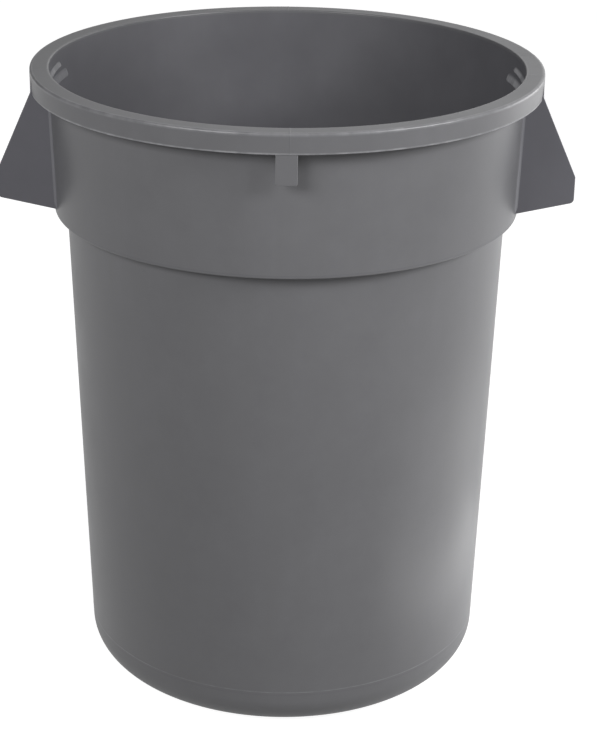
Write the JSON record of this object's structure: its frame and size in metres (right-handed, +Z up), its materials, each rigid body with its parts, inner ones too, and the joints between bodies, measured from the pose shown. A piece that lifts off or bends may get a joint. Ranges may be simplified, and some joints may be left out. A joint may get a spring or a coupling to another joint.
{
  "type": "trash can",
  "caption": "Round open-topped waste container with a tapered drum, a wider stepped upper band, a hanging rim and two moulded hand holds.",
  "frame": {"origin": "on the ground, on the can's axis", "axes": "+Z up along the can's axis, -Y to the front where the lid tab hangs, +X and -X to the hand holds"},
  "size_m": [0.6118, 0.5478, 0.692],
  "materials": {
    "grey_polyethylene": "satin moulded polyethylene, mid grey"
  },
  "bodies": {
    "root": {"foot_ring": "grey_polyethylene", "base_floor": "grey_polyethylene", "floor_ring": "grey_polyethylene", "floor_ribs": "grey_polyethylene", "drum_wall": "grey_polyethylene", "step_ledge": "grey_polyethylene", "upper_band": "grey_polyethylene", "rim": "grey_polyethylene", "rim_gussets_front": "grey_polyethylene", "rim_gussets_rear": "grey_polyethylene", "front_lid_tab": "grey_polyethylene", "rear_lid_tab": "grey_polyethylene", "left_handle_front_web": "grey_polyethylene", "left_handle_rear_web": "grey_polyethylene", "left_handle_panel": "grey_polyethylene", "left_handle_grip": "grey_polyethylene", "left_upper_bead": "grey_polyethylene", "left_lower_bead": "grey_polyethylene", "right_handle_front_web": "grey_polyethylene", "right_handle_rear_web": "grey_polyethylene", "right_handle_panel": "grey_polyethylene", "right_handle_grip": "grey_polyethylene", "right_upper_bead": "grey_polyethylene", "right_lower_bead": "grey_polyethylene"}
  },
  "joints": []
}
